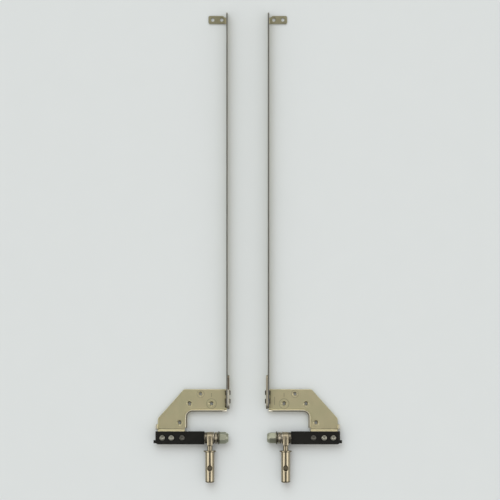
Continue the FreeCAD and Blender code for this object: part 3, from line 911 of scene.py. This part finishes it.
for side, outward in SIDES.items():
    for piece_name, (finish, width) in MACHINED.items():
        node_name = f"{side}_{piece_name}"
        bm = welded_copy(node_name)
        if piece_name == "lock_nut":
            turn_nut(bm, NUT_TURNS[side])
        soften(bm, width, STAYS_SHARP.get(piece_name))
        mark_cut(bm)
        if piece_name == "lid_plate":
            slant_rim(bm, outward)
        body = f"{side}_post" if piece_name == "base_post" else "brackets"
        finish_piece(f"{node_name}_skin", bm, finish, SLOTS[node_name], body, node_name)

# %% [markdown]
# ## Spun pieces
# Rivets and spring washers are round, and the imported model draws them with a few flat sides. Bevels can't
# make those round, so here they are made new: half of the section is drawn as a line of points and spun
# once round the piece's own axis. The places and lengths come from each node's connected parts, so a
# rivet sits in its hole.

# %% spinning
SPIN_STEPS = 48


def spun(bm, section, centre, axis, across, closed=False):
    """Spin a section of (distance along the axis, radius) pairs once round the axis."""
    verts = [bm.verts.new(centre + axis * d + across * r) for d, r in section]
    pairs = list(zip(verts, verts[1:]))
    if closed:
        pairs.append((verts[-1], verts[0]))
    edges = [bm.edges.new(pair) for pair in pairs]
    bmesh.ops.spin(
        bm, geom=verts + edges, cent=centre, axis=axis, angle=2 * math.pi, steps=SPIN_STEPS,
        use_merge=True,
    )
    bmesh.ops.remove_doubles(bm, verts=bm.verts, dist=WELD)
    bmesh.ops.recalc_face_normals(bm, faces=bm.faces)


print("round pieces have", SPIN_STEPS, "sides")

# %% connected parts
def loose_parts(node_name):
    """The lowest and highest corners, in millimetres, of each connected part of a node."""
    bm = welded_copy(node_name)
    left = set(bm.verts)
    corners = []
    while left:
        part = [left.pop()]
        for vert in part:
            for link in vert.link_edges:
                other = link.other_vert(vert)
                if other in left:
                    left.remove(other)
                    part.append(other)
        spots = [v.co for v in part]
        corners.append(tuple(Vector(pick(s[i] for s in spots) for i in range(3)) for pick in (min, max)))
    bm.free()
    return corners


print("rivets in one rail:", len(loose_parts("left_rail_rivets")))

# %% [markdown]
# ## Necks and threads
# A sheet of one millimetre is too thin for a thread. The press pulls each screw hole down into a short
# neck, whose mouth is countersunk, and which is then tapped. The plates stand on these necks, and the
# holes look dark because they are deep. A spin can't carry a thread that climbs and still closes into a
# ring, so a neck is a grid laid round the hole one point at a time: its inner rows follow a triangle wave
# that climbs one pitch a turn. Outside it flares into the sheet, as pulled metal does. The hole above the
# arm takes a peg, so its neck is plain. The necks are also painted dark all over, with the painted shade
# of the creases.

# %% neck helper
NECK_LOW = 0.05
NECK_HIGH = 1.75
NECK_WALL = 0.45
NECK_MOUTH = 0.35
MOUTH_FOOT = 1.53
NECK_OUTSIDE = ((NECK_HIGH, 0.25), (0.98, 0.25), (0.90, 0.08), (0.78, 0.0), (0.15, 0.0), (NECK_LOW, -0.1))
NECK_PITCH = 0.45
NECK_ROWS = 36


def neck(bm, centre, bore, thread):
    """A ring below a hole, with a screw thread of the given depth inside."""
    columns = []
    for i in range(SPIN_STEPS):
        turn = 2 * math.pi * i / SPIN_STEPS
        out = Vector((math.cos(turn), math.sin(turn), 0))
        section = []
        for j in range(NECK_ROWS + 1):
            z = NECK_LOW + (MOUTH_FOOT - NECK_LOW) * j / NECK_ROWS
            wave = abs(2 * ((z / NECK_PITCH + i / SPIN_STEPS) % 1) - 1)
            section.append((z, bore - NECK_MOUTH - thread * wave))
        section.append((NECK_HIGH, bore))
        section += [(z, bore + NECK_WALL + flare) for z, flare in NECK_OUTSIDE]
        columns.append([bm.verts.new(centre + out * r + Vector((0, 0, z))) for z, r in section])
    for column, following in zip(columns, columns[1:] + columns[:1]):
        for k in range(len(column)):
            bm.faces.new((column[k - 1], column[k], following[k], following[k - 1]))


print("necks: pitch", NECK_PITCH, "mm, mouth", NECK_MOUTH, "mm wide")

# %% necks
# Each hole: x from the pair's middle, y from the hinge's axis, radius, depth of thread, in mm.
NECK_HOLES = (
    (26.4, 24.4, 1.15, 0.0),
    (32.6, 18.95, 1.3, 0.18),
    (20.3, 18.95, 1.3, 0.18),
    (38.2, 8.3, 1.3, 0.18),
)

for side, outward in SIDES.items():
    bm = bmesh.new()
    for x, y, bore, thread in NECK_HOLES:
        neck(bm, Vector((outward * x, HINGE_Y / MM + y, 0)), bore, thread)
    bmesh.ops.recalc_face_normals(bm, faces=bm.faces)
    # Painted shade: every vertex of the necks is marked as a crease, so the holes are painted dark.
    crease = bm.verts.layers.float.new("crease")
    for vert in bm.verts:
        vert[crease] = 1.0
    finish_piece(f"{side}_screw_necks", bm, "plated_steel", "plated_steel", "brackets")

# %% [markdown]
# ## Rivets
# A rivet's head is a low dome that the setting tool has dished in the middle. It could be a squashed
# sphere, but that has no dish and no shank. So the section runs from the middle of one head, over its
# rim, down the shank and over the other head, and is spun.

# %% rivet helper
# From the middle outwards: share of the head's radius, share of its height.
DISH = (
    (0.0, 0.62), (0.22, 0.60), (0.36, 0.78), (0.55, 1.0),
    (0.78, 0.92), (0.94, 0.62), (1.0, 0.2), (0.98, 0.0),
)
SHANK_SHARE = 0.58


def rivet(bm, low, high, axis, across, head_height):
    """One rivet that fills the box of its plain solid."""
    centre = (low + high) / 2
    half = (high - low).dot(axis) / 2
    radius = (high - low).dot(across) / 2
    grip = half - head_height
    upper_head = [(grip + head_height * h, radius * r) for r, h in DISH]
    shank = [(grip, radius * SHANK_SHARE), (-grip, radius * SHANK_SHARE)]
    lower_head = [(-d, r) for d, r in reversed(upper_head)]
    spun(bm, upper_head + shank + lower_head, centre, axis, across)


print("rivet heads: a line of", len(DISH), "points")

# %% rivets
X_AXIS = Vector((1, 0, 0))
Y_AXIS = Vector((0, 1, 0))
Z_AXIS = Vector((0, 0, 1))
RIVETS = {
    "tang_rivets": ("rivet_steel", Z_AXIS, X_AXIS, 0.5),
    "tang_rivet_inner": ("dull_rivet", Z_AXIS, X_AXIS, 0.5),
    "rail_rivets": ("grimy_rivet", X_AXIS, Y_AXIS, 0.6),
}

for side in SIDES:
    for piece_name, (finish, axis, across, head_height) in RIVETS.items():
        node_name = f"{side}_{piece_name}"
        bm = bmesh.new()
        for low, high in loose_parts(node_name):
            rivet(bm, low, high, axis, across, head_height)
        finish_piece(f"{node_name}_spun", bm, finish, SLOTS[node_name], "brackets", node_name)

# %% [markdown]
# ## Disc springs
# Two dished washers, turned against each other, press the stack together. A flat ring could be bent into
# a dish, but a spun section gives the dish at once. Their rims are rounded by tumbling, so the section
# has a corner cut on each outer edge. The first spring's bore stands outward, and the second one's
# inward.

# %% disc spring helper
SPRING_THICK = 0.78
SPRING_DISH = 0.28
SPRING_BORE = 2.15
RIM_ROUND = 0.15


def spring_section(dish, rim):
    """The closed section of a dished washer, from its bore to its rounded rim; dish shifts the bore."""
    return [
        (dish, SPRING_BORE),
        (dish + SPRING_THICK, SPRING_BORE),
        (SPRING_THICK, rim - RIM_ROUND),
        (SPRING_THICK - RIM_ROUND, rim),
        (RIM_ROUND, rim),
        (0.0, rim - RIM_ROUND),
    ]


print("disc springs:", SPRING_THICK, "mm thick, dished by", SPRING_DISH, "mm")

# %% disc springs
SPRINGS = {"disc_spring_1": (SPRING_DISH, 0.0), "disc_spring_2": (-SPRING_DISH, SPRING_DISH)}

for side, outward in SIDES.items():
    for piece_name, (dish, start) in SPRINGS.items():
        node_name = f"{side}_{piece_name}"
        low, high = (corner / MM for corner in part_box(node_name))
        start -= (high.x - low.x) / 2
        section = [(start + d, r) for d, r in spring_section(dish, (high.z - low.z) / 2)]
        bm = bmesh.new()
        spun(bm, section, (low + high) / 2, outward * X_AXIS, Z_AXIS, closed=True)
        finish_piece(f"{node_name}_spun", bm, "spring_steel", "spring_steel", "brackets", node_name)

# %% [markdown]
# ## Sizes and the end
# The dressed pair should stay inside the imported model's box, so the size of its visible box is printed.

# %% sizes
low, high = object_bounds()
print("visual box", [round(v / MM, 2) for v in high - low], "mm")
